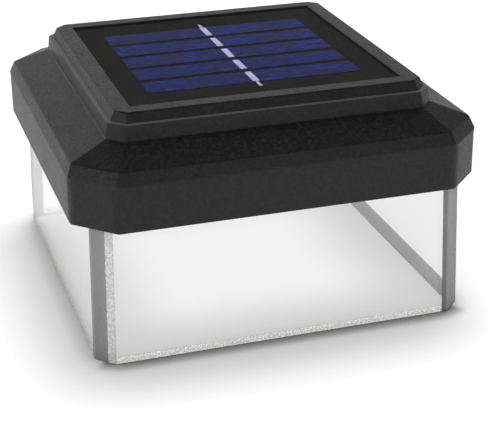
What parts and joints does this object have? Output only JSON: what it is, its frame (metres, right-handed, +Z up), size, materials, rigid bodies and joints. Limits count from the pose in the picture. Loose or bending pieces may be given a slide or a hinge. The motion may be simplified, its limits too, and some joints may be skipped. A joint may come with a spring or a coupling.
{
  "type": "post cap light",
  "caption": "Square black solar cap with cut corners over a clear open-bottomed skirt that slips onto a deck post.",
  "frame": {"origin": "centre of the skirt's bottom rim, on the surface the light stands on", "axes": "+Z up towards the solar panel; +Y from the front of the light to its back; +X to the right seen from the front"},
  "size_m": [0.12, 0.12, 0.07],
  "materials": {
    "cap_plastic": "moulded black, satin",
    "chassis_plastic": "moulded black, matt",
    "clear_plastic": "clear moulding, frosted cut edges",
    "panel_black": "black laminate",
    "cell_blue": "polycrystalline cell, anti-reflection blue",
    "tinned_ribbon": "tinned copper",
    "clear_resin": "clear gloss",
    "adhesive_foam": "closed-cell foam",
    "gasket_rubber": "soft silicone",
    "screw_steel": "stainless steel",
    "board_laminate": "green solder mask",
    "led_board_white": "white solder mask",
    "chip_black": "moulded epoxy",
    "coil_ferrite": "ferrite with copper winding",
    "capacitor_sleeve": "shrunk sleeve over aluminium",
    "resistor_lacquer": "lacquer",
    "led_phosphor": "silicone over phosphor",
    "wire_red": "wire insulation",
    "wire_black": "wire insulation",
    "wire_grey": "wire insulation",
    "contact_nickel": "nickel plate",
    "cell_can": "nickel-plated steel",
    "cell_sleeve": "shrunk sleeve, plain green",
    "switch_black": "moulded",
    "button_red": "moulded"
  },
  "bodies": {
    "light": {"cap_shell": "cap_plastic", "panel_pad": "adhesive_foam", "panel_board": "panel_black", "solar_cells": "cell_blue", "cell_ribbons": "tinned_ribbon", "panel_resin": "clear_resin", "chassis": "chassis_plastic", "chassis_gasket": "gasket_rubber", "chassis_screws": "screw_steel", "clear_skirt": "clear_plastic", "skirt_screws": "screw_steel", "circuit_board": "board_laminate", "board_screws": "screw_steel", "driver_chip": "chip_black", "boost_coil": "coil_ferrite", "capacitor": "capacitor_sleeve", "resistor": "resistor_lacquer", "led_board_front": "led_board_white", "led_board_right": "led_board_white", "led_board_back": "led_board_white", "led_board_left": "led_board_white", "leds_front": "led_phosphor", "leds_right": "led_phosphor", "leds_back": "led_phosphor", "leds_left": "led_phosphor", "led_wires": "wire_grey", "panel_wire_red": "wire_red", "panel_wire_black": "wire_black", "battery_wire_red": "wire_red", "battery_wire_black": "wire_black", "switch_wires": "wire_grey", "battery_box": "chassis_plastic", "positive_contact": "contact_nickel", "negative_contact": "contact_nickel", "negative_spring": "contact_nickel", "switch_body": "switch_black"},
    "door": {"battery_door": "chassis_plastic", "door_gasket": "gasket_rubber", "door_screws": "screw_steel"},
    "cell": {"battery_can": "cell_can", "battery_sleeve": "cell_sleeve"},
    "button": {"switch_button": "button_red"}
  },
  "joints": [
    {"name": "door_lift", "type": "slide", "parent": "light", "child": "door", "axis": [0, 0, -1], "range_m": [0, 0.036]},
    {"name": "cell_lift", "type": "slide", "parent": "light", "child": "cell", "axis": [0, 0, -1], "range_m": [0, 0.018]},
    {"name": "button_press", "type": "slide", "parent": "light", "child": "button", "axis": [0, 0, 1], "range_m": [0, 0.0015], "stiffness_N_per_m": 600}
  ],
  "couplings": [
    {"joint": "cell_lift", "follows": "door_lift", "ratio": 0.5}
  ]
}
